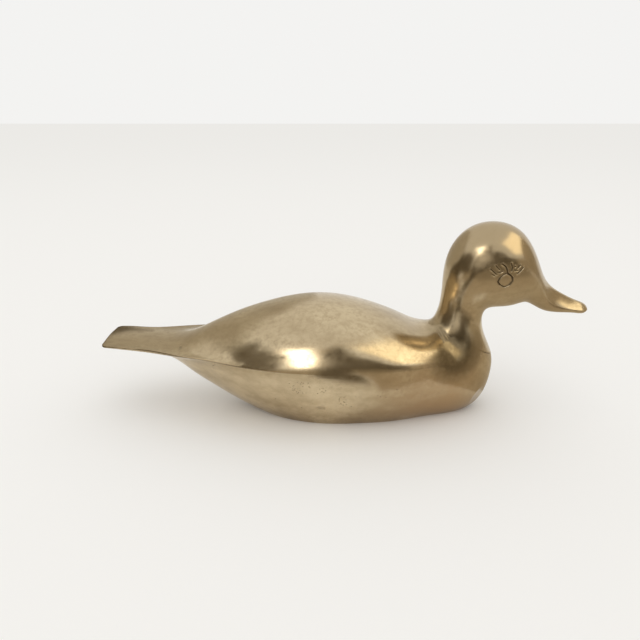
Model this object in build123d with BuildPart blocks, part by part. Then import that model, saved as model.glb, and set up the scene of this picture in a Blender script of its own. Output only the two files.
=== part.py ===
from build123d import *
import os

os.makedirs("parts", exist_ok=True)

# A hollow brass duck, cast in two pieces that are brazed together at the root
# of the neck. It stands along X with the bill at +X. The origin is under the
# middle of its length, on the surface that it stands on, and Z is up.

# Main sizes, in millimetres. The lengths follow each other along the duck: the
# tail plate, the back as far as the nape, the head, and the bill. The neck and
# head stand on the height of the back
tail_length = 43.0
back_length = 164.0
head_length = 57.0
bill_length = 36.0
back_height = 74.4
neck_height = 46.6
tail_half_width = 18.0
body_half_width = 44.0
head_half_width = 19.0

# The castings
wall = 3.0
tail_edge = 1.4
tail_corner_radius = 3.5

# The brazed joint at the root of the neck: its plane runs from a point on the
# nape to one on the breast. The head casting has a lip that sits in the body
nape_shares = (1.989, 0.813)
breast_shares = (2.658, 0.498)
seam = 1.0
lip_length = 6.0
lip_wall = 1.8
lip_clearance = 0.2
lip_root = 4.0

# The flat low on the near side of the breast, where the casting's gate was
# ground off: the point of the breast that it takes away, and how it faces
gate_shares = (2.542, -0.270, 0.202)
gate_turn = 45.0
gate_lean = 22.0
gate_depth = 0.4 * wall

# The eyes, a six-sided groove chased into each side of the head
eye_shares = (2.595, 1.338)
eye_sides = 6
eye_radius = 4.4
eye_groove = 0.9
eye_depth = 0.5

# The lines plan. Each row is one cross-section, from the tail to the bill: where
# its top and bottom point lie, its width as a share of the half width there, and
# then where up the section the widest line lies and how thick the edge is there.
# Places count along the lengths and heights above, so 1.5 along is the tail plate
# and half of the back, and 0.5 up is half of the back's height
tail_shares = [
    # top along, top up, bottom along, bottom up, width, widest, edge
    (0.000, 0.660, 0.000, 0.621, 0.934, 0.500, 0.86),
    (0.160, 0.660, 0.160, 0.608, 0.975, 0.550, 1.00),
    (0.481, 0.649, 0.481, 0.569, 1.002, 0.655, 1.25),
    (0.760, 0.644, 0.760, 0.511, 1.115, 0.770, 1.35),
]
body_shares = [
    (0.998, 0.649, 0.998, 0.436, 0.531, 0.812, 1.05),
    (1.060, 0.683, 1.060, 0.330, 0.601, 0.782, 0.50),
    (1.146, 0.771, 1.146, 0.197, 0.672, 0.696, 0.29),
    (1.232, 0.854, 1.232, 0.081, 0.788, 0.657, 0.36),
    (1.329, 0.922, 1.329, -0.028, 0.900, 0.642, 0.36),
    (1.438, 0.977, 1.438, -0.128, 0.977, 0.635, 0.43),
    (1.572, 1.000, 1.572, -0.182, 1.000, 0.635, 0.57),
    (1.718, 0.943, 1.718, -0.176, 0.964, 0.655, 0.71),
    (1.854, 0.828, 1.865, -0.138, 0.872, 0.700, 0.86),
    (1.923, 0.763, 1.987, -0.089, 0.752, 0.730, 0.93),
    (1.967, 0.763, 2.295, -0.052, 0.626, 0.690, 0.93),
    (1.989, 0.802, 2.542, 0.085, 0.508, 0.550, 0.93),
]
head_shares = [
    (2.000, 0.859, 2.642, 0.304, 0.938, 0.460, 0.86),
    (2.021, 0.919, 2.637, 0.501, 0.764, 0.460, 0.71),
    (2.032, 0.987, 2.553, 0.655, 0.644, 0.480, 0.71),
    (2.037, 1.130, 2.500, 0.790, 0.607, 0.500, 0.71),
    (2.042, 1.346, 2.516, 0.886, 0.713, 0.540, 0.71),
    (2.100, 1.649, 2.595, 0.917, 0.896, 0.580, 0.71),
    (2.279, 1.914, 2.700, 0.922, 1.003, 0.590, 0.71),
    (2.553, 2.000, 2.805, 0.935, 1.003, 0.580, 0.71),
    (2.811, 1.886, 2.905, 0.958, 0.871, 0.540, 0.71),
    (2.989, 1.590, 2.984, 0.950, 0.660, 0.480, 0.64),
    (3.167, 1.309, 3.125, 0.912, 0.475, 0.440, 0.57),
    (3.325, 1.156, 3.275, 0.881, 0.384, 0.380, 0.50),
    (3.558, 1.042, 3.500, 0.868, 0.347, 0.340, 0.43),
    (3.817, 0.968, 3.792, 0.862, 0.306, 0.360, 0.36),
    (3.958, 0.937, 3.942, 0.862, 0.232, 0.450, 0.29),
    (4.000, 0.916, 4.000, 0.880, 0.127, 0.500, 0.21),
]

# How full each of those cross-sections is. The first two shares say how far the
# top and the bottom stay level from the middle, the others how the back and the
# belly leave the widest line: a share of the width inwards, and of the height.
# From the neck to the crown the cross-sections are alike, a plain oval
round_shares = (0.55, 0.55, 0.00, 0.55, 0.00, 0.55)
round_rows = 8
fullness_shares = [
    # top, bottom, back in, back up, belly in, belly down
    (0.50, 0.50, 0.40, 0.25, 0.40, 0.25),
    (0.50, 0.50, 0.40, 0.20, 0.40, 0.20),
    (0.50, 0.50, 0.40, 0.15, 0.40, 0.12),
    (0.50, 0.40, 0.40, 0.10, 0.42, 0.08),
    (0.45, 0.40, 0.42, 0.05, 0.42, 0.06),
    (0.45, 0.45, 0.42, 0.05, 0.36, 0.15),
    (0.50, 0.50, 0.36, 0.10, 0.28, 0.25),
    (0.52, 0.55, 0.24, 0.20, 0.22, 0.33),
    (0.55, 0.58, 0.10, 0.36, 0.20, 0.38),
    (0.56, 0.60, 0.03, 0.46, 0.18, 0.42),
    (0.56, 0.62, 0.00, 0.50, 0.11, 0.45),
    (0.56, 0.58, 0.00, 0.52, 0.04, 0.48),
    (0.56, 0.55, 0.00, 0.52, 0.01, 0.52),
    (0.55, 0.54, 0.00, 0.53, 0.00, 0.54),
    (0.50, 0.53, 0.00, 0.54, 0.00, 0.55),
    (0.45, 0.55, 0.00, 0.50, 0.00, 0.55),
    (0.48, 0.55, 0.00, 0.52, 0.00, 0.55),
    (0.52, 0.55, 0.00, 0.54, 0.00, 0.55),
    *[round_shares] * round_rows,
    (0.50, 0.55, 0.00, 0.50, 0.00, 0.55),
    (0.45, 0.55, 0.05, 0.35, 0.00, 0.50),
    (0.40, 0.60, 0.10, 0.30, 0.00, 0.45),
    (0.38, 0.60, 0.12, 0.28, 0.00, 0.45),
    (0.45, 0.55, 0.15, 0.30, 0.00, 0.45),
    (0.45, 0.55, 0.15, 0.30, 0.00, 0.45),
]

# The hollow runs from the seventh cross-section, where the tail gets too thin
# for it, to the last one before the bill
hollow_rows = slice(6, 26)


def measure(share, sizes):
    """How far a share reaches along sizes that follow each other."""
    passed = min(max(int(share), 0), len(sizes) - 1)
    return sum(sizes[:passed]) + (share - passed) * sizes[passed]


def lay(along_share, up_share):
    """A point on the middle plane of the duck."""
    lengths = (tail_length, back_length, head_length, bill_length)
    x = measure(along_share, lengths) - sum(lengths) / 2
    return Vector(x, 0, measure(up_share, (back_height, neck_height)))


sections = [
    *((tail_half_width, *row) for row in tail_shares),
    *((body_half_width, *row) for row in body_shares),
    *((head_half_width, *row) for row in head_shares),
]


def form(inset, rows):
    """The duck's own form, or that form drawn in by the inset."""
    with BuildPart() as body:
        for section, fullness in zip(sections[rows], fullness_shares[rows]):
            half_width, top_x, top_z, bottom_x, bottom_z, width, widest, edge = section
            top_in, bottom_in, back_in, back_up, belly_in, belly_down = fullness
            up = (lay(top_x, top_z) - lay(bottom_x, bottom_z)).normalized()
            top = lay(top_x, top_z) - up * inset
            bottom = lay(bottom_x, bottom_z) + up * inset
            tall = (top - bottom).length
            wide = width * half_width - inset
            half_edge = edge * tail_edge / 2
            over = widest * tall + half_edge
            under = widest * tall - half_edge
            with BuildSketch(Plane(bottom, x_dir=(0, 1, 0), z_dir=(up.Z, 0, -up.X))):
                with BuildLine():
                    Bezier(
                        (0, tall),
                        (top_in * wide, tall),
                        (wide - back_in * wide, over + back_up * (tall - over)),
                        (wide, over),
                    )
                    Line((wide, over), (wide, under))
                    Bezier(
                        (wide, under),
                        (wide - belly_in * wide, under - belly_down * under),
                        (bottom_in * wide, 0),
                        (0, 0),
                    )
                    mirror(about=Plane.YZ)
                make_face()
        loft()
    return body.part


# The whole duck as one solid form, with the corners of the tail plate rounded
with BuildPart() as duck:
    add(form(0, slice(None)))
    tail_end = duck.faces().sort_by(Axis.X)[0]
    fillet(tail_end.edges().sort_by(SortBy.LENGTH)[:2], tail_corner_radius)
whole = duck.part

# The hollow, and the surfaces of the lip that follow the hollow round the neck
hollow = form(wall, hollow_rows)
lip_outside = form(wall + lip_clearance, hollow_rows)
lip_inside = form(wall + lip_clearance + lip_wall, hollow_rows)
lip_seat = form(wall / 2, hollow_rows)

# The plane of the joint climbs from the breast back to the nape, and faces the head
nape = lay(*nape_shares)
breast = lay(*breast_shares)
along_joint = (breast - nape).normalized()
joint = Plane((nape + breast) / 2, x_dir=along_joint, z_dir=(-along_joint.Z, 0, along_joint.X))
above_seam = joint.offset(seam / 2)
below_seam = joint.offset(-seam / 2)
above_lip = above_seam.offset(lip_root)

# The plane of the gate's flat, turned to the near side and leaning down
gate_x, gate_y, gate_z = gate_shares
gate_point = lay(gate_x, gate_z) + Vector(0, gate_y * body_half_width, 0)
gate_facing = Vector(1, 0, 0).rotate(Axis.Y, gate_lean).rotate(Axis.Z, -gate_turn)
gate = Plane(gate_point, z_dir=gate_facing).offset(-gate_depth)

# The metal that the eye grooves take away: a six-sided ring straight across the
# head, less all that lies deeper than the grooves
with BuildPart() as eyes:
    with BuildSketch(Plane(lay(*eye_shares), x_dir=(1, 0, 0), z_dir=(0, -1, 0))):
        RegularPolygon(eye_radius, eye_sides)
        RegularPolygon(eye_radius - eye_groove, eye_sides, mode=Mode.SUBTRACT)
    extrude(amount=head_half_width, both=True)
    add(form(eye_depth, hollow_rows), mode=Mode.SUBTRACT)

# The body casting, from the tail to the joint, ground flat at the rim
with BuildPart() as body_casting:
    add(whole)
    split(bisect_by=below_seam, keep=Keep.BOTTOM)
    split(bisect_by=Plane.XY, keep=Keep.TOP)
    split(bisect_by=gate, keep=Keep.BOTTOM)
    add(hollow, mode=Mode.SUBTRACT)
body_casting.part.label = "body_casting"

# The head casting: its shell, then the lip with the shoulder that carries it
with BuildPart() as head_shell:
    add(whole)
    add(hollow, mode=Mode.SUBTRACT)
    split(bisect_by=above_seam, keep=Keep.TOP)

with BuildPart() as lip:
    add(lip_outside)
    split(bisect_by=above_lip, keep=Keep.BOTTOM)
    split(bisect_by=joint.offset(-lip_length), keep=Keep.TOP)
    add(lip_inside, mode=Mode.SUBTRACT)

with BuildPart() as lip_shoulder:
    add(lip_seat)
    split(bisect_by=above_seam, keep=Keep.TOP)
    split(bisect_by=above_lip, keep=Keep.BOTTOM)
    add(lip_inside, mode=Mode.SUBTRACT)

with BuildPart() as head_casting:
    add(head_shell.part)
    add(lip_shoulder.part)
    add(lip.part)
    add(eyes.part, mode=Mode.SUBTRACT)
head_casting.part.label = "head_casting"

# The brazing metal between the two castings, dressed flush with them
with BuildPart() as neck_braze:
    add(whole)
    split(bisect_by=above_seam, keep=Keep.BOTTOM)
    split(bisect_by=below_seam, keep=Keep.TOP)
    add(hollow, mode=Mode.SUBTRACT)
neck_braze.part.label = "neck_braze"

for piece in (body_casting, head_casting, neck_braze):
    print(piece.part.label, len(piece.part.solids()), "solid", round(piece.part.volume), "mm3")
    export_step(piece.part, f"parts/{piece.part.label}.step")
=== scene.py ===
import math

import bmesh
import bpy
import numpy as np
from mathutils import Matrix, Quaternion, Vector, noise


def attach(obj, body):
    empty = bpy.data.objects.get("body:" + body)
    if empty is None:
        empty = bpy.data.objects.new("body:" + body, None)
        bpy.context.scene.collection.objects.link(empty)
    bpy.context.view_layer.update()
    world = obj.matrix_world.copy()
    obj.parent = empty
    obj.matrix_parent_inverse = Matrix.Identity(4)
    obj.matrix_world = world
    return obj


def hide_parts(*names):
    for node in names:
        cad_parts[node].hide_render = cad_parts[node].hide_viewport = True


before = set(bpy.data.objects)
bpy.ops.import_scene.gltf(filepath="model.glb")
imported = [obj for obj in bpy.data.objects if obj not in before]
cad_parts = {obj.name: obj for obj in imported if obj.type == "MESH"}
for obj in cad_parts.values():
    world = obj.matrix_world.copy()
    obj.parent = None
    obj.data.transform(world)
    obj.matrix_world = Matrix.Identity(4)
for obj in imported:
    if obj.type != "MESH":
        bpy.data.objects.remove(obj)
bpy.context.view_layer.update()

# The body casting. The larger of the duck's two hollow brass castings, from the
# tail plate to the root of the neck. It was cast in sand with a core, its skin
# filed and polished by hand, and its underside ground flat as a rim to stand on.

# The duck's own lines: lengths that follow each other from the tail to the bill,
# heights that follow each other from the rim to the crown, and half widths
lengths = (0.043, 0.164, 0.057, 0.036)
heights = (0.0744, 0.0466)
tail_half_width = 0.018
body_half_width = 0.044
head_half_width = 0.019
wall = 0.003
tail_edge = 0.0014
tail_corner_radius = 0.0035
end_rounding = 0.0006
crest_rounding = 0.0003
one_point = 1e-6

# Each row is one cross-section: its top and bottom point, its width, how far up
# its widest line lies, and how thick the edge is there
tail_shares = [
    # top along, top up, bottom along, bottom up, width, widest, edge
    (0.000, 0.660, 0.000, 0.621, 0.934, 0.500, 0.86),
    (0.160, 0.660, 0.160, 0.608, 0.975, 0.550, 1.00),
    (0.481, 0.649, 0.481, 0.569, 1.002, 0.655, 1.25),
    (0.760, 0.644, 0.760, 0.511, 1.115, 0.770, 1.35),
]
body_shares = [
    (0.998, 0.649, 0.998, 0.436, 0.531, 0.812, 1.05),
    (1.060, 0.683, 1.060, 0.330, 0.601, 0.782, 0.50),
    (1.146, 0.771, 1.146, 0.197, 0.672, 0.696, 0.29),
    (1.232, 0.854, 1.232, 0.081, 0.788, 0.657, 0.36),
    (1.329, 0.922, 1.329, -0.028, 0.900, 0.642, 0.36),
    (1.438, 0.977, 1.438, -0.128, 0.977, 0.635, 0.43),
    (1.572, 1.000, 1.572, -0.182, 1.000, 0.635, 0.57),
    (1.718, 0.943, 1.718, -0.176, 0.964, 0.655, 0.71),
    (1.854, 0.828, 1.865, -0.138, 0.872, 0.700, 0.86),
    (1.923, 0.763, 1.987, -0.089, 0.752, 0.730, 0.93),
    (1.967, 0.763, 2.295, -0.052, 0.626, 0.690, 0.93),
    (1.989, 0.802, 2.542, 0.085, 0.508, 0.550, 0.93),
]
head_shares = [
    (2.000, 0.859, 2.642, 0.304, 0.938, 0.460, 0.86),
    (2.021, 0.919, 2.637, 0.501, 0.764, 0.460, 0.71),
    (2.032, 0.987, 2.553, 0.655, 0.644, 0.480, 0.71),
    (2.037, 1.130, 2.500, 0.790, 0.607, 0.500, 0.71),
    (2.042, 1.346, 2.516, 0.886, 0.713, 0.540, 0.71),
    (2.100, 1.649, 2.595, 0.917, 0.896, 0.580, 0.71),
    (2.279, 1.914, 2.700, 0.922, 1.003, 0.590, 0.71),
    (2.553, 2.000, 2.805, 0.935, 1.003, 0.580, 0.71),
    (2.811, 1.886, 2.905, 0.958, 0.871, 0.540, 0.71),
    (2.989, 1.590, 2.984, 0.950, 0.660, 0.480, 0.64),
    (3.167, 1.309, 3.125, 0.912, 0.475, 0.440, 0.57),
    (3.325, 1.156, 3.275, 0.881, 0.384, 0.380, 0.50),
    (3.558, 1.042, 3.500, 0.868, 0.347, 0.340, 0.43),
    (3.817, 0.968, 3.792, 0.862, 0.306, 0.360, 0.36),
    (3.958, 0.937, 3.942, 0.862, 0.232, 0.450, 0.29),
    (4.000, 0.916, 4.000, 0.880, 0.127, 0.500, 0.21),
]

# How full each cross-section is, above its widest line and below it
round_shares = (0.55, 0.55, 0.00, 0.55, 0.00, 0.55)
fullness_shares = [
    # top, bottom, back in, back up, belly in, belly down
    (0.50, 0.50, 0.40, 0.25, 0.40, 0.25),
    (0.50, 0.50, 0.40, 0.20, 0.40, 0.20),
    (0.50, 0.50, 0.40, 0.15, 0.40, 0.12),
    (0.50, 0.40, 0.40, 0.10, 0.42, 0.08),
    (0.45, 0.40, 0.42, 0.05, 0.42, 0.06),
    (0.45, 0.45, 0.42, 0.05, 0.36, 0.15),
    (0.50, 0.50, 0.36, 0.10, 0.28, 0.25),
    (0.52, 0.55, 0.24, 0.20, 0.22, 0.33),
    (0.55, 0.58, 0.10, 0.36, 0.20, 0.38),
    (0.56, 0.60, 0.03, 0.46, 0.18, 0.42),
    (0.56, 0.62, 0.00, 0.50, 0.11, 0.45),
    (0.56, 0.58, 0.00, 0.52, 0.04, 0.48),
    (0.56, 0.55, 0.00, 0.52, 0.01, 0.52),
    (0.55, 0.54, 0.00, 0.53, 0.00, 0.54),
    (0.50, 0.53, 0.00, 0.54, 0.00, 0.55),
    (0.45, 0.55, 0.00, 0.50, 0.00, 0.55),
    (0.48, 0.55, 0.00, 0.52, 0.00, 0.55),
    (0.52, 0.55, 0.00, 0.54, 0.00, 0.55),
    *[round_shares] * 8,
    (0.50, 0.55, 0.00, 0.50, 0.00, 0.55),
    (0.45, 0.55, 0.05, 0.35, 0.00, 0.50),
    (0.40, 0.60, 0.10, 0.30, 0.00, 0.45),
    (0.38, 0.60, 0.12, 0.28, 0.00, 0.45),
    (0.45, 0.55, 0.15, 0.30, 0.00, 0.45),
    (0.45, 0.55, 0.15, 0.30, 0.00, 0.45),
]
cross_sections = [
    *((tail_half_width, *row) for row in tail_shares),
    *((body_half_width, *row) for row in body_shares),
    *((head_half_width, *row) for row in head_shares),
]
all_rows = slice(None)
hollow_rows = slice(6, 26)


def measure(share, sizes):
    """How far a share reaches along sizes that follow each other."""
    passed = min(max(int(share), 0), len(sizes) - 1)
    return sum(sizes[:passed]) + (share - passed) * sizes[passed]


def lay(along_share, up_share):
    """A point on the middle plane of the duck."""
    x = measure(along_share, lengths) - sum(lengths) / 2
    return np.array((x, 0.0, measure(up_share, heights)))


def curve(start, first, second, end, samples=121):
    """A curved stretch of a cross-section, pulled by two handles."""
    t = np.linspace(0.0, 1.0, samples)[:, None]
    start, first, second, end = (np.array(point) for point in (start, first, second, end))
    return (
        start * (1 - t) ** 3
        + first * 3 * t * (1 - t) ** 2
        + second * 3 * t ** 2 * (1 - t)
        + end * t ** 3
    )


def half_section(section, fullness, inset):
    """One side of a cross-section: its back down to the widest line, then its belly."""
    half_width, top_x, top_z, bottom_x, bottom_z, width, widest, edge = section
    top_in, bottom_in, back_in, back_up, belly_in, belly_down = fullness
    top, bottom = lay(top_x, top_z), lay(bottom_x, bottom_z)
    up = (top - bottom) / np.linalg.norm(top - bottom)
    top, bottom = top - up * inset, bottom + up * inset
    tall = np.linalg.norm(top - bottom)
    wide = width * half_width - inset
    over = widest * tall + edge * tail_edge / 2
    under = widest * tall - edge * tail_edge / 2
    back = curve(
        (0.0, tall),
        (top_in * wide, tall),
        (wide - back_in * wide, over + back_up * (tall - over)),
        (wide, over),
    )
    belly = curve(
        (wide, under),
        (wide - belly_in * wide, under - belly_down * under),
        (bottom_in * wide, 0.0),
        (0.0, 0.0),
    )
    flat = np.vstack((back, belly))
    return bottom + flat[:, :1] * np.array((0.0, 1.0, 0.0)) + flat[:, 1:] * up


def fair(places, knots, values):
    """Smooth lines through the values at the knots, read at other places."""
    count = len(knots)
    gaps = np.diff(knots)
    slopes = np.diff(values, axis=0) / gaps[:, None]
    matrix = np.eye(count)
    right = np.zeros_like(values)
    for row in range(1, count - 1):
        matrix[row, row - 1:row + 2] = gaps[row - 1], 2 * (gaps[row - 1] + gaps[row]), gaps[row]
        right[row] = 6 * (slopes[row] - slopes[row - 1])
    bend = np.linalg.solve(matrix, right)
    at = np.clip(np.searchsorted(knots, places) - 1, 0, count - 2)
    gap = gaps[at][:, None]
    before = (places - knots[at])[:, None]
    after = gap - before
    return (
        (bend[at] * after ** 3 + bend[at + 1] * before ** 3) / (6 * gap)
        + (values[at] / gap - bend[at] * gap / 6) * after
        + (values[at + 1] / gap - bend[at + 1] * gap / 6) * before
    )


def walk(line, distances):
    """Points at the given distances along a line."""
    steps = np.linalg.norm(np.diff(line, axis=0), axis=1)
    walked = np.concatenate(((0.0,), np.cumsum(steps)))
    return np.stack([np.interp(distances, walked, line[:, axis]) for axis in range(3)], axis=1)


def girdle(back, belly, back_steps, belly_steps):
    """The vertices of one side of a ring, with the edges of its widest line eased."""
    over, under = back[-1], belly[0]
    strip = np.linalg.norm(under - over)
    ease = min(crest_rounding, 0.4 * strip)
    down = (under - over) / strip
    back_length = np.linalg.norm(np.diff(back, axis=0), axis=1).sum()
    belly_length = np.linalg.norm(np.diff(belly, axis=0), axis=1).sum()
    upper = walk(back, np.linspace(0.0, back_length - ease, back_steps + 1))
    lower = walk(belly, np.linspace(ease, belly_length, belly_steps + 1))
    strip_start, strip_end = over + down * ease, under - down * ease
    upper_corner = 0.25 * upper[-1] + 0.5 * over + 0.25 * strip_start
    lower_corner = 0.25 * strip_end + 0.5 * under + 0.25 * lower[0]
    return np.vstack((upper, upper_corner, strip_start, strip_end, lower_corner, lower))


def end_inset(distance):
    """How far a ring is drawn in so close to the rounded end of the duck."""
    if distance >= end_rounding:
        return 0.0
    turn = math.acos(1.0 - max(distance, 0.0) / end_rounding)
    return end_rounding * (1.0 - math.sin(turn))


def rings_of(rows, inset, spacing, steps, rounded=False):
    """The rings of a skin of the duck, each a closed row of points."""
    halves = np.array([
        half_section(section, fullness, inset)
        for section, fullness in zip(cross_sections[rows], fullness_shares[rows])
    ])
    count, samples = len(halves), halves.shape[1] // 2
    strides = np.linalg.norm(np.diff(halves, axis=0), axis=2).mean(axis=1)
    knots = np.concatenate(((0.0,), np.cumsum(strides)))
    places = np.linspace(0.0, knots[-1], int(knots[-1] / spacing))
    if rounded:
        turns = np.linspace(0.0, math.pi / 2, 5)
        ends = end_rounding * (1.0 - np.cos(turns))
        corner = tail_corner_radius * (1.0 - np.cos(np.linspace(0.0, math.pi / 2, 10)))
        middle = places[(places > tail_corner_radius) & (places < knots[-1] - end_rounding)]
        places = np.unique(np.round(np.concatenate((ends, corner, middle, knots[-1] - ends)), 9))
    lines = fair(places, knots, halves.reshape(count, -1)).reshape(len(places), -1, 3)
    rings = []
    for place, line in zip(places, lines):
        side = girdle(line[:samples], line[samples:], *steps)
        if rounded:
            middle = (side[0] + side[-1]) / 2
            half_width = side[:, 1].max()
            tall = np.linalg.norm(side[0] - side[-1])
            drawn_in = max(end_inset(place), end_inset(knots[-1] - place))
            corner_in = 0.0
            if place < tail_corner_radius:
                short = tail_corner_radius - place
                corner_in = tail_corner_radius - math.sqrt(tail_corner_radius ** 2 - short ** 2)
            narrow = (half_width - drawn_in - corner_in) / half_width
            side = middle + (side - middle) * (1.0 - 2 * drawn_in / tall)
            side[:, 1] *= narrow / (1.0 - 2 * drawn_in / tall)
        near = side[::-1] * np.array((1.0, -1.0, 1.0))
        rings.append(np.vstack((near, side[1:-1])))
    return np.array(rings)


def facing(rings):
    """The outward direction at every point of the rings."""
    after, before = np.roll(rings, -1, axis=1), np.roll(rings, 1, axis=1)
    ahead = np.linalg.norm(after - rings, axis=2, keepdims=True)
    behind = np.linalg.norm(rings - before, axis=2, keepdims=True)
    across = (after - rings) * behind / ahead + (rings - before) * ahead / behind
    along = np.gradient(rings, axis=0)
    out = np.cross(along, across)
    return out / np.maximum(np.linalg.norm(out, axis=2, keepdims=True), 1e-12)


def hand_made(rings, swell, swell_size, seed):
    """Rings with the slight hollows that filing and polishing by hand leaves."""
    sunk = 0.6
    out = facing(rings)
    moved = rings.copy()
    for ring in range(len(rings)):
        for place in range(rings.shape[1]):
            point = Vector(rings[ring, place] / swell_size) + Vector((seed, 0.0, 0.0))
            moved[ring, place] += out[ring, place] * swell * (noise.noise(point) - sunk)
    return moved


def select_none():
    """Leaves nothing selected."""
    if bpy.context.object and bpy.context.object.mode != "OBJECT":
        bpy.ops.object.mode_set(mode="OBJECT")
    bpy.ops.object.select_all(action="DESELECT")


def tube(name, rings, metals, inside=False):
    """A grid wrapped round the duck's lines and closed along its seam and at its ends."""
    select_none()
    count, around = rings.shape[:2]
    bpy.ops.mesh.primitive_grid_add(x_subdivisions=around, y_subdivisions=count - 1, size=1.0)
    piece = bpy.context.object
    piece.name = piece.data.name = name
    mesh = piece.data
    spots = np.empty(len(mesh.vertices) * 3)
    mesh.vertices.foreach_get("co", spots)
    spots = spots.reshape(-1, 3)
    ring = np.rint((spots[:, 1] + 0.5) * (count - 1)).astype(int)
    place = np.rint((spots[:, 0] + 0.5) * around).astype(int) % around
    mesh.vertices.foreach_set("co", rings[ring, place].ravel())
    where = mesh.attributes.new("where", "FLOAT_VECTOR", "POINT")
    angle = place * math.tau / around
    where.data.foreach_set("vector", np.stack((np.cos(angle), np.sin(angle), ring), axis=1).ravel())
    bpy.ops.object.mode_set(mode="EDIT")
    bpy.ops.mesh.select_mode(type="VERT")
    bpy.ops.mesh.select_all(action="SELECT")
    bpy.ops.mesh.remove_doubles(threshold=one_point)
    bpy.ops.mesh.select_all(action="SELECT")
    bpy.ops.mesh.fill_holes(sides=0)
    bpy.ops.mesh.select_all(action="SELECT")
    bpy.ops.mesh.normals_make_consistent(inside=inside)
    bpy.ops.mesh.faces_shade_smooth()
    bpy.ops.object.mode_set(mode="OBJECT")
    for metal in metals:
        mesh.materials.append(metal)
    return piece


def cut(piece, point, normal):
    """Takes away what lies on the side of a plane that its normal points to."""
    select_none()
    bpy.context.view_layer.objects.active = piece
    piece.select_set(True)
    bpy.ops.object.mode_set(mode="EDIT")
    bpy.ops.mesh.select_all(action="SELECT")
    bpy.ops.mesh.bisect(plane_co=point, plane_no=normal, clear_outer=True, threshold=1e-7)
    bpy.ops.object.mode_set(mode="OBJECT")


def join(name, *pieces):
    """Several skins as one piece."""
    select_none()
    for piece in pieces:
        piece.select_set(True)
    bpy.context.view_layer.objects.active = pieces[0]
    bpy.ops.object.join()
    pieces[0].name = pieces[0].data.name = name
    return pieces[0]


def close(piece, point, outward, slot, within=1e-5):
    """Closes the gap between the open edges that lie in a plane.

    The fill merges points that lie very close together, so it's done on an enlarged piece.
    """
    select_none()
    enlarged = 4096.0
    piece.data.transform(Matrix.Scale(enlarged, 4))
    within *= enlarged
    bpy.context.view_layer.objects.active = piece
    piece.select_set(True)
    bpy.ops.object.mode_set(mode="EDIT")
    bpy.ops.mesh.select_all(action="DESELECT")
    shape = bmesh.from_edit_mesh(piece.data)
    point, outward = Vector(point) * enlarged, Vector(outward).normalized()
    for edge in shape.edges:
        ends = [abs((corner.co - point).dot(outward)) for corner in edge.verts]
        edge.select = edge.is_boundary and max(ends) < within
    bpy.ops.mesh.fill()
    shape = bmesh.from_edit_mesh(piece.data)
    for face in shape.faces:
        if face.select:
            face.material_index = slot
            face.smooth = False
            if face.normal.dot(outward) < 0.0:
                face.normal_flip()
    bpy.ops.mesh.select_all(action="SELECT")
    bpy.ops.mesh.remove_doubles(threshold=one_point * enlarged)
    bpy.ops.object.mode_set(mode="OBJECT")
    piece.data.transform(Matrix.Scale(1.0 / enlarged, 4))


def read_rings(rings, where):
    """What the rings hold at places between their points."""
    count, around = rings.shape[:2]
    turn = np.arctan2(where[:, 1], where[:, 0]) / math.tau * around
    results = np.zeros((len(where), 3))
    ring_base, turn_base = np.floor(where[:, 2]).astype(int), np.floor(turn).astype(int)
    ring_part, turn_part = where[:, 2] - ring_base, turn - turn_base

    def weights(t):
        return (
            (-t + 2 * t ** 2 - t ** 3) / 2,
            (2 - 5 * t ** 2 + 3 * t ** 3) / 2,
            (t + 4 * t ** 2 - 3 * t ** 3) / 2,
            (-t ** 2 + t ** 3) / 2,
        )

    for step, ring_weight in zip(range(-1, 3), weights(ring_part)):
        ring = np.clip(ring_base + step, 0, count - 1)
        for turn_step, turn_weight in zip(range(-1, 3), weights(turn_part)):
            place = (turn_base + turn_step) % around
            results += rings[ring, place] * (ring_weight * turn_weight)[:, None]
    return results


def places_of(piece):
    """Where each vertex of a piece lies on its rings."""
    places = np.empty(len(piece.data.vertices) * 3)
    piece.data.attributes["where"].data.foreach_get("vector", places)
    return places.reshape(-1, 3)


def spots_of(piece):
    """The positions of a piece's vertices."""
    spots = np.empty(len(piece.data.vertices) * 3)
    piece.data.vertices.foreach_get("co", spots)
    return spots.reshape(-1, 3)


def corner_slots(piece):
    """The material slot and the vertex of every corner of a piece's faces."""
    mesh = piece.data
    slots = np.empty(len(mesh.polygons), int)
    mesh.polygons.foreach_get("material_index", slots)
    sides = np.empty(len(mesh.polygons), int)
    mesh.polygons.foreach_get("loop_total", sides)
    owners = np.empty(len(mesh.loops), int)
    mesh.loops.foreach_get("vertex_index", owners)
    return np.repeat(slots, sides), owners


def skin_only(piece):
    """True for the vertices that belong to the curved polished skin alone."""
    mesh = piece.data
    slots, owners = corner_slots(piece)
    curved = np.empty(len(mesh.polygons), bool)
    mesh.polygons.foreach_get("use_smooth", curved)
    sides = np.empty(len(mesh.polygons), int)
    mesh.polygons.foreach_get("loop_total", sides)
    on_skin = np.repeat(curved, sides) & (slots == 0)
    skin = np.zeros(len(mesh.vertices), bool)
    skin[owners[on_skin]] = True
    skin[owners[~on_skin]] = False
    return skin


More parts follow.
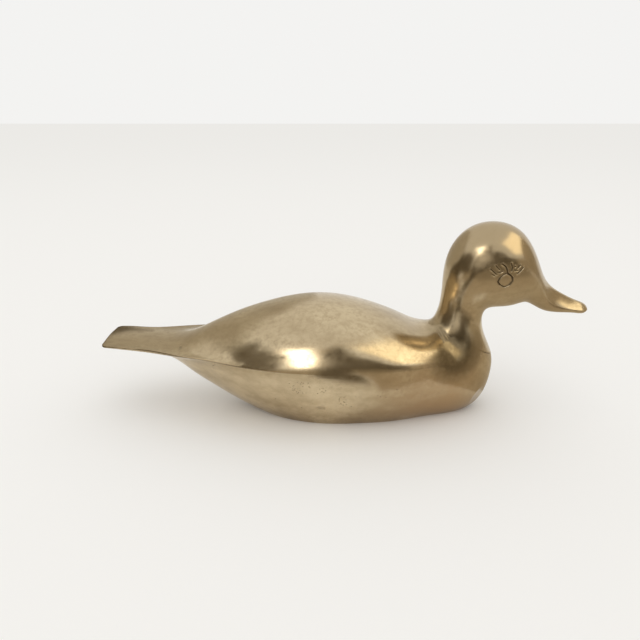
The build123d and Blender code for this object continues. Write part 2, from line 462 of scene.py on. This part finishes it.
def refine(piece, rings, wanted, cuts):
    """Divides the skin's faces that are wanted and lays the skin back on its curves."""
    select_none()
    bpy.context.view_layer.objects.active = piece
    piece.select_set(True)
    bpy.ops.object.mode_set(mode="EDIT")
    bpy.ops.mesh.select_mode(type="FACE")
    bpy.ops.mesh.select_all(action="DESELECT")
    shape = bmesh.from_edit_mesh(piece.data)
    for face in shape.faces:
        if face.material_index == 0 and face.smooth and wanted(face.calc_center_median()):
            face.select = True
    bpy.ops.mesh.subdivide(number_cuts=cuts)
    bpy.ops.mesh.select_mode(type="VERT")
    bpy.ops.mesh.select_all(action="SELECT")
    bpy.ops.mesh.remove_doubles(threshold=2 * one_point)
    bpy.ops.object.mode_set(mode="OBJECT")
    # Near the rim the skin stays where the cut left it
    left_by_rim = 0.004
    spots = spots_of(piece)
    skin = skin_only(piece) & (spots[:, 2] > left_by_rim)
    spots[skin] = read_rings(rings, places_of(piece)[skin])
    piece.data.vertices.foreach_set("co", spots.ravel())


def away_from(line, flat):
    """How far points of the side view are from a line of short strokes."""
    nearest = np.full(len(flat), 1.0)
    for start, end in zip(line[:-1], line[1:]):
        start, way = np.array(start), np.array(end) - np.array(start)
        share = np.clip(((flat - start) @ way) / max(way @ way, 1e-12), 0.0, 1.0)
        reach = np.linalg.norm(flat - start - share[:, None] * way, axis=1)
        nearest = np.minimum(nearest, reach)
    return nearest


def chase(piece, rings, side, marks):
    """Presses marks into one side of a piece, each a line with its width, depth, burr and dirt."""
    burr_away_share, burr_width_share = 0.62, 0.22
    spots = spots_of(piece)
    outward = read_rings(facing(rings), places_of(piece))
    flat = spots[:, (0, 2)]
    reachable = skin_only(piece) & (spots[:, 1] * side > 0.001)
    groove, ridge, soiled = np.zeros((3, len(flat)))
    for line, width, depth, burr, dirt_and_shade in marks:
        away = np.where(reachable, away_from(line, flat), 1.0)
        pressed = np.where(away < width / 2, np.cos(np.pi * away / width) ** 2, 0.0)
        raised = np.exp(-((away - burr_away_share * width) / (burr_width_share * width)) ** 2)
        groove = np.maximum(groove, depth * pressed)
        ridge = np.maximum(ridge, np.where(raised > 0.02, depth * burr * raised, 0.0))
        soiled = np.maximum(soiled, dirt_and_shade * pressed)
    moved = np.where(groove > ridge, -groove, ridge - groove)
    piece.data.vertices.foreach_set("co", (spots + outward * moved[:, None]).ravel())
    if "dirt_and_shade" not in piece.data.attributes:
        piece.data.attributes.new("dirt_and_shade", "FLOAT", "POINT")
    held = np.empty(len(flat))
    piece.data.attributes["dirt_and_shade"].data.foreach_get("value", held)
    piece.data.attributes["dirt_and_shade"].data.foreach_set("value", np.maximum(held, soiled))
    return moved != 0.0


def crest_painted_shade(piece, rings, belly_steps, most):
    """Paints shade as a dark line under the sharp edge from the tail along the flanks."""
    mesh = piece.data
    places, spots = places_of(piece), spots_of(piece)
    around = rings.shape[1]
    turn = np.arctan2(places[:, 1], places[:, 0]) / math.tau * around % around
    below = np.minimum(np.abs(turn - belly_steps - 1.5), np.abs(around - turn - belly_steps - 1.5))
    share = np.clip(1.5 - below, 0.0, 1.0)
    tail_end, thick_from, thick_to, clean_from = -0.118, -0.105, -0.060, -0.030
    stretch = (tail_end, thick_from, thick_to, clean_from)
    share *= np.interp(spots[:, 0], stretch, (0.3, 1.0, 1.0, 0.0))
    held = np.empty(len(spots))
    mesh.attributes["dirt_and_shade"].data.foreach_get("value", held)
    mesh.attributes["dirt_and_shade"].data.foreach_set("value", np.maximum(held, most * share * skin_only(piece)))


def polish(piece, rings, worked=None):
    """Gives the skin the duck's own smooth normals, right up to its cut edges.

    Its flats, and what was worked into it, keep the normals of their own shape.
    """
    mesh = piece.data
    outward = read_rings(facing(rings), places_of(piece))
    outward /= np.maximum(np.linalg.norm(outward, axis=1, keepdims=True), 1e-12)
    if worked is not None:
        outward[worked] = 0.0
    slots, owners = corner_slots(piece)
    curved = np.empty(len(mesh.polygons), bool)
    mesh.polygons.foreach_get("use_smooth", curved)
    sides = np.empty(len(mesh.polygons), int)
    mesh.polygons.foreach_get("loop_total", sides)
    on_skin = np.repeat(curved, sides) & (slots == 0)
    mesh.normals_split_custom_set(np.where(on_skin[:, None], outward[owners], 0.0))


def brass_nodes(name, colour, roughness):
    """The nodes that all the duck's brass begins with."""
    material = bpy.data.materials.new(name)
    material.use_nodes = True
    nodes, links = material.node_tree.nodes, material.node_tree.links
    shader = nodes["Principled BSDF"]
    shader.inputs["Metallic"].default_value = 1.0
    shader.inputs["Roughness"].default_value = roughness
    shader.inputs["Base Color"].default_value = (*colour, 1.0)
    return material, nodes, links, shader


def pattern(nodes, links, size, stretch=(1.0, 1.0, 1.0), detail=4.0, rough=0.55, turn=(0.0, 0.0, 0.0)):
    """A cloudy pattern on the object's own coordinates, with features of a size."""
    place = nodes.new("ShaderNodeTexCoord")
    mapping = nodes.new("ShaderNodeMapping")
    mapping.inputs["Rotation"].default_value = turn
    mapping.inputs["Scale"].default_value = [part / size for part in stretch]
    cloud = nodes.new("ShaderNodeTexNoise")
    cloud.inputs["Scale"].default_value = 1.0
    cloud.inputs["Detail"].default_value = detail
    cloud.inputs["Roughness"].default_value = rough
    links.new(place.outputs["Object"], mapping.inputs["Vector"])
    links.new(mapping.outputs["Vector"], cloud.inputs["Vector"])
    return cloud.outputs["Fac"]


def ranged(nodes, links, value, low, high, to_low, to_high):
    """A value taken from one range to another and kept inside it."""
    fit = nodes.new("ShaderNodeMapRange")
    fit.inputs["From Min"].default_value = low
    fit.inputs["From Max"].default_value = high
    fit.inputs["To Min"].default_value = to_low
    fit.inputs["To Max"].default_value = to_high
    links.new(value, fit.inputs["Value"])
    return fit.outputs["Result"]


def mixed(nodes, links, share, first, second):
    """Two colours mixed by a share."""
    mix = nodes.new("ShaderNodeMix")
    mix.data_type = "RGBA"
    links.new(share, mix.inputs["Factor"])
    for socket, colour in ((mix.inputs["A"], first), (mix.inputs["B"], second)):
        if isinstance(colour, tuple):
            socket.default_value = (*colour, 1.0)
        else:
            links.new(colour, socket)
    return mix.outputs["Result"]


def bumped(nodes, links, height, depth, strength, before=None):
    """A bump of a real depth, laid over the bump before it."""
    bump = nodes.new("ShaderNodeBump")
    bump.inputs["Distance"].default_value = depth
    bump.inputs["Strength"].default_value = strength
    links.new(height, bump.inputs["Height"])
    if before is not None:
        links.new(before, bump.inputs["Normal"])
    return bump.outputs["Normal"]


def along_axis(nodes, links, axis, start, end, most):
    """A share that grows along an axis of the duck, from nothing at the start."""
    place = nodes.new("ShaderNodeTexCoord")
    axes = nodes.new("ShaderNodeSeparateXYZ")
    links.new(place.outputs["Object"], axes.inputs["Vector"])
    if start > end:
        return ranged(nodes, links, axes.outputs[axis], end, start, most, 0.0)
    return ranged(nodes, links, axes.outputs[axis], start, end, 0.0, most)


def times(nodes, links, first, second):
    """Two shares multiplied."""
    product = nodes.new("ShaderNodeMath")
    product.operation = "MULTIPLY"
    links.new(first, product.inputs[0])
    links.new(second, product.inputs[1])
    return product.outputs["Value"]


def round_the_joint(nodes, links):
    """A share that is highest on the root of the neck and fades out round it."""
    root_along, root_up = 0.0655, 0.0450
    reach_along, reach_up = 0.020, 0.0195
    place = nodes.new("ShaderNodeTexCoord")
    shift = nodes.new("ShaderNodeMapping")
    shift.inputs["Location"].default_value = (-root_along, 0.0, -root_up)
    reach = nodes.new("ShaderNodeVectorMath")
    reach.operation = "MULTIPLY"
    reach.inputs[1].default_value = (1 / reach_along, 0.0, 1 / reach_up)
    away = nodes.new("ShaderNodeVectorMath")
    away.operation = "LENGTH"
    links.new(place.outputs["Object"], shift.inputs["Vector"])
    links.new(shift.outputs["Vector"], reach.inputs[0])
    links.new(reach.outputs["Vector"], away.inputs[0])
    return ranged(nodes, links, away.outputs["Value"], 0.45, 1.0, 0.88, 0.0)


def polished_brass(name, bright, aged):
    """Hand-polished brass, gone slightly dull and mottled, with dirt in its marks, painted shade read
    from the same attribute as that dirt, and a painted reflection on the lower flank.
    """
    material, nodes, links, shader = brass_nodes(name, bright, 0.2)
    clouds = pattern(nodes, links, 0.026, stretch=(0.55, 1.0, 1.0), detail=5.0, rough=0.6)
    mottle = pattern(nodes, links, 0.0035, detail=5.0, rough=0.7)
    specks = pattern(nodes, links, 0.0011, detail=3.0, rough=0.6)
    streaks = pattern(nodes, links, 0.0016, stretch=(0.05, 1.0, 1.0), detail=3.0)
    grain = pattern(nodes, links, 0.0007, detail=2.0)
    share = ranged(nodes, links, clouds, 0.40, 0.64, 0.0, 0.90)
    speck = ranged(nodes, links, mottle, 0.44, 0.72, 0.0, 0.85)
    colour = mixed(nodes, links, share, bright, aged)
    colour = mixed(nodes, links, speck, colour, aged)
    spots = ranged(nodes, links, specks, 0.64, 0.74, 0.0, 0.35)
    colour = mixed(nodes, links, spots, colour, spotted)
    patches = ranged(nodes, links, clouds, 0.35, 0.60, 0.25, 1.0)
    near_rim = times(nodes, links, along_axis(nodes, links, "Z", 0.020, 0.002, 0.90), patches)
    colour = mixed(nodes, links, near_rim, colour, browned)
    breast_side = times(
        nodes, links,
        along_axis(nodes, links, "X", 0.010, 0.045, 0.75),
        along_axis(nodes, links, "Z", 0.050, 0.036, 1.0),
    )
    breast_side = times(nodes, links, breast_side, along_axis(nodes, links, "X", 0.090, 0.065, 1.0))
    breast_side = times(nodes, links, breast_side, patches)
    colour = mixed(nodes, links, breast_side, colour, warm_brown)
    # Painted reflection: lighter brass on the lower flank below the crest, toward the tail, standing in
    # for the bright floor mirrored there
    flank_reflection_share = times(
        nodes, links,
        along_axis(nodes, links, "X", 0.030, 0.005, 0.65),
        along_axis(nodes, links, "Z", 0.042, 0.036, 1.0),
    )
    flank_reflection_share = times(nodes, links, flank_reflection_share, along_axis(nodes, links, "Z", 0.006, 0.018, 1.0))
    flank_reflection_share = times(nodes, links, flank_reflection_share, ranged(nodes, links, clouds, 0.44, 0.60, 1.0, 0.35))
    colour = mixed(nodes, links, flank_reflection_share, colour, painted_floor_reflection)
    tarnish = times(
        nodes, links,
        round_the_joint(nodes, links),
        ranged(nodes, links, mottle, 0.3, 0.5, 0.8, 1.0),
    )
    colour = mixed(nodes, links, tarnish, colour, tarnished)
    on_head = along_axis(nodes, links, "Z", 0.072, 0.092, 0.85)
    colour = mixed(nodes, links, on_head, colour, aged)
    # Dirt in the chased marks and painted shade under the tail's edge, both read from one attribute,
    # darken and roughen the brass
    dirt_and_shade = nodes.new("ShaderNodeAttribute")
    dirt_and_shade.attribute_name = "dirt_and_shade"
    colour = mixed(nodes, links, dirt_and_shade.outputs["Fac"], colour, dirt_and_shade_brass)
    links.new(colour, shader.inputs["Base Color"])
    rough = ranged(nodes, links, mottle, 0.30, 0.75, 0.16, 0.28)
    rougher = nodes.new("ShaderNodeMath")
    rougher.operation = "MULTIPLY_ADD"
    rougher.inputs[1].default_value = 0.45
    links.new(dirt_and_shade.outputs["Fac"], rougher.inputs[0])
    links.new(rough, rougher.inputs[2])
    links.new(rougher.outputs["Value"], shader.inputs["Roughness"])
    normal = bumped(nodes, links, streaks, 0.00002, 0.35)
    normal = bumped(nodes, links, mottle, 0.00004, 0.35, normal)
    normal = bumped(nodes, links, grain, 0.00001, 0.30, normal)
    links.new(normal, shader.inputs["Normal"])
    return material


def cast_brass(name, bright, aged):
    """Brass as it came from the sand, dark and grainy."""
    material, nodes, links, shader = brass_nodes(name, bright, 0.62)
    sand = pattern(nodes, links, 0.0012, detail=6.0, rough=0.7)
    clouds = pattern(nodes, links, 0.018, detail=4.0)
    share = ranged(nodes, links, clouds, 0.35, 0.65, 0.0, 1.0)
    links.new(mixed(nodes, links, share, bright, aged), shader.inputs["Base Color"])
    links.new(ranged(nodes, links, sand, 0.3, 0.7, 0.5, 0.75), shader.inputs["Roughness"])
    links.new(bumped(nodes, links, sand, 0.0003, 0.7), shader.inputs["Normal"])
    return material


def ground_brass(name, bright, aged):
    """Brass ground flat on a belt, with scratches that run one way."""
    material, nodes, links, shader = brass_nodes(name, bright, 0.36)
    scratches = pattern(nodes, links, 0.0004, stretch=(0.03, 1.0, 1.0), detail=2.0)
    clouds = pattern(nodes, links, 0.012, detail=4.0)
    share = ranged(nodes, links, clouds, 0.4, 0.7, 0.0, 0.8)
    links.new(mixed(nodes, links, share, bright, aged), shader.inputs["Base Color"])
    links.new(ranged(nodes, links, scratches, 0.3, 0.7, 0.28, 0.46), shader.inputs["Roughness"])
    links.new(bumped(nodes, links, scratches, 0.00003, 0.6), shader.inputs["Normal"])
    return material


brass_bright = (0.640, 0.520, 0.335)
brass_aged = (0.440, 0.340, 0.205)
browned = (0.300, 0.205, 0.105)
warm_brown = (0.440, 0.290, 0.150)
spotted = (0.260, 0.190, 0.110)
tarnished = (0.150, 0.110, 0.058)
# A lighter brass, the colour of the painted reflection of the bright floor on the lower flank
painted_floor_reflection = (0.780, 0.650, 0.440)
# The dark of the dirt in the chased marks, also the colour of the painted shade line under the tail's
# edge
dirt_and_shade_brass = (0.075, 0.052, 0.028)
polished = polished_brass("polished_brass", brass_bright, brass_aged)
ground = ground_brass("ground_brass", (0.46, 0.37, 0.22), (0.28, 0.21, 0.12))
sand_cast = cast_brass("sand_cast_brass", (0.20, 0.150, 0.085), (0.10, 0.078, 0.050))

# The plane of the joint at the root of the neck, from the nape to the breast
nape = lay(1.989, 0.813)
breast = lay(2.658, 0.498)
seam = 0.001
joint_middle = (nape + breast) / 2
joint_slope = (breast - nape) / np.linalg.norm(breast - nape)
joint_up = np.array((-joint_slope[2], 0.0, joint_slope[0]))
above_seam = joint_middle + joint_up * seam / 2
below_seam = joint_middle - joint_up * seam / 2

# The flat where the gate was ground off, low on the near side of the breast
gate_turn = math.radians(45.0)
gate_lean = math.radians(22.0)
gate_facing = np.array((
    math.cos(gate_lean) * math.cos(gate_turn),
    -math.cos(gate_lean) * math.sin(gate_turn),
    -math.sin(gate_lean),
))
gate_point = lay(2.542, 0.202) + np.array((0.0, -0.270 * body_half_width, 0.0))
gate_depth_share = 0.4
gate_plane = gate_point - gate_facing * gate_depth_share * wall

# The polished skin and the rough core of the whole duck, which each piece takes
# its own stretch of
skin_steps = (26, 26)
skin_spacing = 0.0015
swell = 0.00012
swell_size = 0.022
swell_seed = 3.0
skin_rings = rings_of(all_rows, 0.0, skin_spacing, skin_steps, rounded=True)
skin_rings = hand_made(skin_rings, swell, swell_size, swell_seed)
core_steps = (16, 16)
core_spacing = 0.003
core_rings = rings_of(hollow_rows, wall, core_spacing, core_steps)
rim_point = (0.0, 0.0, 0.0)
down = (0.0, 0.0, -1.0)

body_skin = tube("cast_body", skin_rings, (polished, ground))
cut(body_skin, below_seam, joint_up)
cut(body_skin, rim_point, down)
cut(body_skin, gate_plane, gate_facing)
body_core = tube("body_core", core_rings, (sand_cast,), inside=True)
cut(body_core, below_seam, joint_up)
cut(body_core, rim_point, down)
cast_body = join("cast_body", body_skin, body_core)
close(cast_body, rim_point, down, 1)
close(cast_body, below_seam, joint_up, 1)
close(cast_body, gate_plane, gate_facing, 0)

# What marks the near side: pits where sand and gas spoiled the skin, three larger
# shallow dents, and the strokes of the file that dressed the joint
pit_fields = [
    # middle along, middle up, how far along and up they lie from it, how many
    (-0.0275, 0.0320, 0.0065, 0.0045, 30),
    (-0.0010, 0.0215, 0.0040, 0.0048, 16),
    (-0.0145, 0.0300, 0.0035, 0.0030, 8),
    (0.0195, 0.0255, 0.0045, 0.0010, 3),
    (-0.0060, 0.0230, 0.0420, 0.0120, 9),
]
pit_sizes = (0.0005, 0.0009)
draw = np.random.default_rng(7)
pits = [
    (
        along + far_along * draw.uniform(-1, 1),
        up + far_up * draw.uniform(-1, 1),
        draw.uniform(*pit_sizes),
    )
    for along, up, far_along, far_up, count in pit_fields
    for pit in range(count)
]
pit_depth_share = 0.16
dents = [(-0.0155, 0.0163, 0.0044), (-0.0795, 0.0401, 0.0016), (-0.1015, 0.0468, 0.0016)]
dent_depth_share = 0.02
marks = [
    (((along, up), (along + size * 0.2, up)), size, size * pit_depth_share, 0.0, 0.80)
    for along, up, size in pits
]
marks += [
    (((along - size * 0.3, up), (along + size * 0.3, up)), size, size * dent_depth_share, 0.0, 0.35)
    for along, up, size in dents
]
file_strokes = [
    ((0.0569, 0.0577), (0.0595, 0.0549), (0.0619, 0.0522)),
    ((0.0580, 0.0578), (0.0604, 0.0556), (0.0625, 0.0534)),
    ((0.0563, 0.0564), (0.0585, 0.0538), (0.0605, 0.0512)),
    ((0.0555, 0.0556), (0.0574, 0.0531), (0.0592, 0.0507)),
]
marks += [(line, 0.0007, 0.00010, 0.10, 0.2) for line in file_strokes]
marked_spots = np.array([
    (*line[0], width) for line, width, depth, burr, dirt_and_shade in marks
])
mark_reach_share = 0.9
mark_margin = 0.0014
filed_along = (0.052, 0.066)
filed_up = (0.047, 0.061)
mark_cuts = 9


def is_marked(centre):
    """True for the faces near a mark on the near side."""
    if centre.y > 0.0:
        return False
    gaps = np.hypot(marked_spots[:, 0] - centre.x, marked_spots[:, 1] - centre.z)
    filed = filed_along[0] < centre.x < filed_along[1] and filed_up[0] < centre.z < filed_up[1]
    return filed or bool(np.any(gaps < marked_spots[:, 2] * mark_reach_share + mark_margin))


refine(cast_body, skin_rings, is_marked, mark_cuts)
polish(cast_body, skin_rings, chase(cast_body, skin_rings, -1, marks))
# Painted shade: a dark line under the sharp edge from the tail along the flanks
crest_painted_shade(cast_body, skin_rings, skin_steps[1], 0.55)
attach(cast_body, "root")
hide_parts("body_casting")

# The head casting. The neck, head and bill in one smaller hollow casting, with a
# lip inside the neck that drops into the body to line the two up. The eyes and
# the lashes round them are chased in with a punch by hand.
lip_length = 0.006
lip_wall = 0.0018
lip_clearance = 0.0002
lip_root = 0.004
lip_spacing = 0.002
above_lip = above_seam + joint_up * lip_root
lip_end = joint_middle - joint_up * lip_length

head_skin = tube("cast_head", skin_rings, (polished, ground))
cut(head_skin, above_seam, -joint_up)
lip_outside_rings = rings_of(hollow_rows, wall + lip_clearance, lip_spacing, core_steps)
lip_outside = tube("lip_outside", lip_outside_rings, (sand_cast,))
cut(lip_outside, above_seam, joint_up)
cut(lip_outside, lip_end, -joint_up)
lip_inside_rings = rings_of(hollow_rows, wall + lip_clearance + lip_wall, lip_spacing, core_steps)
lip_inside = tube("lip_inside", lip_inside_rings, (sand_cast,), inside=True)
cut(lip_inside, above_lip, joint_up)
cut(lip_inside, lip_end, -joint_up)
head_core = tube("head_core", core_rings, (sand_cast,), inside=True)
cut(head_core, above_lip, -joint_up)
cast_head = join("cast_head", head_skin, lip_outside, lip_inside, head_core)
close(cast_head, above_seam, -joint_up, 1)
close(cast_head, lip_end, -joint_up, 1)
close(cast_head, above_lip, joint_up, 2)

# The eye and its lashes as seen from the near side: along and up, in metres
eye_ring = [
    (0.0916, 0.0859), (0.0886, 0.0874), (0.0871, 0.0894), (0.0877, 0.0917), (0.0894, 0.0937),
    (0.0915, 0.0948), (0.0947, 0.0928), (0.0956, 0.0902), (0.0940, 0.0873), (0.0916, 0.0859),
]
long_lash = [
    (0.0882, 0.1002), (0.0897, 0.0992), (0.0908, 0.0981), (0.0915, 0.0966), (0.0917, 0.0952),
    (0.0931, 0.0941), (0.0947, 0.0928), (0.0955, 0.0917),
]
lashes = [
    [(0.0820, 0.0971), (0.0836, 0.0957), (0.0856, 0.0940)],
    [(0.0846, 0.0993), (0.0857, 0.0981), (0.0869, 0.0970)],
    [(0.0866, 0.0950), (0.0878, 0.0952), (0.0888, 0.0960)],
    [(0.0834, 0.0938), (0.0846, 0.0931)],
    [(0.0934, 0.1005), (0.0941, 0.0992), (0.0943, 0.0980), (0.0937, 0.0961)],
    [(0.0989, 0.0992), (0.0983, 0.0984), (0.0975, 0.0976)],
    [(0.1010, 0.0979), (0.1002, 0.0967), (0.0992, 0.0958)],
    [(0.0959, 0.0961), (0.0968, 0.0965), (0.0976, 0.0963)],
    [(0.0957, 0.0988), (0.0960, 0.0985)],
    [(0.0992, 0.0955), (0.0985, 0.0949), (0.0977, 0.0944)],
]
eye_marks = [
    (eye_ring, 0.0013, 0.0005, 0.20, 1.0),
    (long_lash, 0.0013, 0.0005, 0.20, 1.0),
    *((line, 0.0012, 0.00045, 0.20, 1.0) for line in lashes),
]
eye_along = (0.0805, 0.1025)
eye_up = (0.0840, 0.1025)
eye_from_middle = 0.012
eye_cuts = 7


def round_the_eye(centre):
    """True for the faces that an eye and its lashes are chased into."""
    beside = eye_along[0] < centre.x < eye_along[1] and eye_up[0] < centre.z < eye_up[1]
    return beside and abs(centre.y) > eye_from_middle


refine(cast_head, skin_rings, round_the_eye, eye_cuts)
worked = chase(cast_head, skin_rings, -1, eye_marks)
worked |= chase(cast_head, skin_rings, 1, eye_marks)
polish(cast_head, skin_rings, worked)
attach(cast_head, "root")
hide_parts("head_casting")

# The braze. A ring of brazing metal that fills the seam at the root of the neck
# and holds the two castings together, filed and polished flush with their skin.
braze = polished_brass("braze_metal", (0.620, 0.495, 0.305), (0.43, 0.325, 0.190))
braze_skin = tube("neck_ring", skin_rings, (braze,))
cut(braze_skin, above_seam, joint_up)
cut(braze_skin, below_seam, -joint_up)
braze_core = tube("braze_core", core_rings, (sand_cast,), inside=True)
cut(braze_core, above_seam, joint_up)
cut(braze_core, below_seam, -joint_up)
neck_ring = join("neck_ring", braze_skin, braze_core)
close(neck_ring, above_seam, joint_up, 1)
close(neck_ring, below_seam, -joint_up, 1)

# The short stretch of the seam at the front of the breast that the braze didn't fill
open_seam = ((0.0825, 0.0443), (0.0868, 0.0417), (0.0905, 0.0395))
seam_marks = [(open_seam, 0.0010, 0.0001, 0.0, 0.75)]
seam_front = 0.078
seam_cuts = 5


def by_the_open_seam(centre):
    """True for the faces by the short stretch that the braze didn't quite fill."""
    return centre.y < 0.0 and centre.x > seam_front


refine(neck_ring, skin_rings, by_the_open_seam, seam_cuts)
polish(neck_ring, skin_rings, chase(neck_ring, skin_rings, -1, seam_marks))
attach(neck_ring, "root")
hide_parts("neck_braze")

# The studio. A plain pale floor that runs out to a pale surround, soft lamps above,
# in front and, warmer, to the right, and matt cards that only the metal sees, which
# give its polish something to reflect. The cards that lie on the floor are painted
# shadow on the floor, seen only in the polish.
floor_size = 12.0
select_none()
bpy.ops.mesh.primitive_plane_add(size=floor_size)
floor = bpy.context.object
floor.name = "floor"
pale = bpy.data.materials.new("pale_floor")
pale.use_nodes = True
pale.node_tree.nodes["Principled BSDF"].inputs["Base Color"].default_value = (0.93, 0.92, 0.90, 1.0)
pale.node_tree.nodes["Principled BSDF"].inputs["Roughness"].default_value = 0.9
pale.node_tree.nodes["Principled BSDF"].inputs["Specular IOR Level"].default_value = 0.0
floor.data.materials.append(pale)

world = bpy.data.worlds.new("surround")
bpy.context.scene.world = world
world.use_nodes = True
background = world.node_tree.nodes["Background"]
background.inputs["Color"].default_value = (0.90, 0.895, 0.88, 1.0)
background.inputs["Strength"].default_value = 1.0

aim = Vector((-0.030, -0.035, 0.045))


def toward(azimuth, elevation, distance, around=aim):
    """A place in the studio: the way it lies from the flank, and how far off."""
    turn, rise = math.radians(azimuth), math.radians(elevation)
    flat = Vector((math.sin(turn), -math.cos(turn), 0.0)) * distance
    return around + flat + Vector((0.0, 0.0, math.tan(rise) * distance))


def lamp(name, azimuth, elevation, distance, width, height, power, colour, roll=0.0):
    """A soft rectangular lamp that faces the duck and shows only in its polish."""
    light = bpy.data.lights.new(name, "AREA")
    light.shape = "RECTANGLE"
    light.size, light.size_y = width, height
    light.energy = power
    light.color = colour
    holder = bpy.data.objects.new(name, light)
    bpy.context.collection.objects.link(holder)
    holder.location = toward(azimuth, elevation, distance)
    facing_duck = (aim - holder.location).to_track_quat("-Z", "Y")
    holder.visible_diffuse = False
    holder.rotation_euler = (facing_duck @ Quaternion((0.0, 0.0, 1.0), math.radians(roll))).to_euler()
    return holder


def card_of(name, corners, colour):
    """A matt card that only the polished metal sees."""
    card = bpy.data.objects[name]
    for corner, place in zip(card.data.vertices, corners):
        corner.co = place
    matt = bpy.data.materials.new(name)
    matt.use_nodes = True
    shader = matt.node_tree.nodes["Principled BSDF"]
    shader.inputs["Base Color"].default_value = (*colour, 1.0)
    shader.inputs["Roughness"].default_value = 1.0
    shader.inputs["Specular IOR Level"].default_value = 0.0
    card.data.materials.append(matt)
    card.visible_camera = False
    card.visible_diffuse = False
    card.visible_shadow = False


def flag(name, distance, colour, outline, around=aim):
    """A card that stands on the floor, curved round the duck, with its top drawn by angles."""
    select_none()
    bpy.ops.mesh.primitive_grid_add(x_subdivisions=40, y_subdivisions=1, size=1.0)
    card = bpy.context.object
    card.name = name
    azimuths, tops = zip(*outline)
    corners = []
    for corner in card.data.vertices:
        azimuth = azimuths[0] + (azimuths[-1] - azimuths[0]) * (corner.co.x + 0.5)
        top = toward(azimuth, float(np.interp(azimuth, azimuths, tops)), distance, around)
        corners.append(Vector((top.x, top.y, top.z * (corner.co.y + 0.5))))
    card_of(name, corners, colour)


def floor_shadow_card(name, left, right, near, far, colour):
    """A card that lies on the floor in front of the duck, a painted shadow on the floor that only the
    polished metal sees.
    """
    select_none()
    bpy.ops.mesh.primitive_plane_add(size=1.0)
    card = bpy.context.object
    card.name = name
    corners = []
    for corner in card.data.vertices:
        across = left + (right - left) * (corner.co.x + 0.5)
        corners.append(Vector((across, -(near + (far - near) * (corner.co.y + 0.5)), 0.0005)))
    card_of(name, corners, colour)


lamp("front_lamp", -12.0, 22.0, 0.80, 0.22, 0.80, 2.6, (1.0, 0.99, 0.97), roll=18.0)
lamp("high_lamp", -35.0, 42.0, 0.80, 0.18, 0.16, 0.16, (1.0, 0.99, 0.97))
lamp("warm_lamp", 73.0, 38.0, 1.0, 1.35, 0.80, 4.1, (1.0, 0.87, 0.57))
# The one lamp that lights the floor, and the only one that the polish doesn't mirror
top_lamp = lamp("top_lamp", 0.0, 80.0, 0.30, 1.5, 1.5, 3.0, (1.0, 0.99, 0.97))
top_lamp.visible_glossy = False
top_lamp.visible_diffuse = True
dark = (0.17, 0.145, 0.11)
shaded = (0.52, 0.455, 0.36)
tail_side = Vector((-0.080, -0.035, 0.045))
flag("left_flag", 0.30, dark, [(-68, 38), (-60, 41), (-44, 41), (-34, 36), (-24, 33)])
flag(
    "tail_flag", 0.13, dark,
    [(-150, 6), (-128, 16), (-108, 26), (-94, 34), (-87, 44), (-80, 54), (-66, 54), (-58, 44)],
    tail_side,
)
flag("rear_card", 0.66, (0.62, 0.59, 0.53), [(-180, 26), (-160, 46), (-120, 54), (-96, 44), (-60, 20)])
flag("middle_flag", 0.24, dark, [(0, 36), (9, 38), (13, 50), (20, 54), (25, 50), (28, 10)])
flag("near_flag", 0.12, dark, [(5, 36), (10, 40), (16, 46), (24, 46), (28, 30)])
flag("soft_flag", 0.25, shaded, [(-2, 44), (6, 48), (14, 50)])
flag("head_flag", 0.62, dark, [(8, 30), (22, 30), (32, 22), (36, 14)])
flag("low_flag", 0.60, dark, [(30, 13), (45, 12), (50, 12)])
flag("side_flag", 0.61, shaded, [(46, 12), (56, 12), (66, 13), (72, 26), (84, 33), (100, 34), (112, 30)])
# Painted shadow on the floor round the duck, seen only in the polish, darkest in a strip straight in
# front; the far cards darken the floor further out
floor_shadow_card("breast_card", 0.100, 0.50, -0.10, 0.064, (0.60, 0.54, 0.44))
floor_shadow_card("near_card", 0.030, 0.50, 0.064, 0.15, (0.58, 0.51, 0.41))
floor_shadow_card("next_card", 0.024, 0.50, 0.15, 0.34, (0.38, 0.33, 0.26))
floor_shadow_card("middle_card", -0.022, 0.024, 0.078, 0.30, dark)
floor_shadow_card("left_card", -0.130, -0.022, 0.110, 0.30, (0.50, 0.44, 0.35))
floor_shadow_card("far_left_card", -0.60, -0.13, 0.16, 0.60, (0.28, 0.24, 0.18))
floor_shadow_card("far_right_card", -0.02, 0.60, 0.34, 0.58, (0.24, 0.21, 0.16))

# The camera, looking down at the duck from in front of its near side
camera_data = bpy.data.cameras.new("camera")
camera_data.sensor_width = 36.0
camera_data.lens = 31.5
camera_data.clip_start = 0.01
camera = bpy.data.objects.new("camera", camera_data)
bpy.context.collection.objects.link(camera)
camera.location = (-0.0161, -0.3294, 0.1852)
camera.rotation_euler = (math.radians(69.0), 0.0, 0.0)
bpy.context.scene.camera = camera
bpy.context.scene.view_settings.view_transform = "Standard"
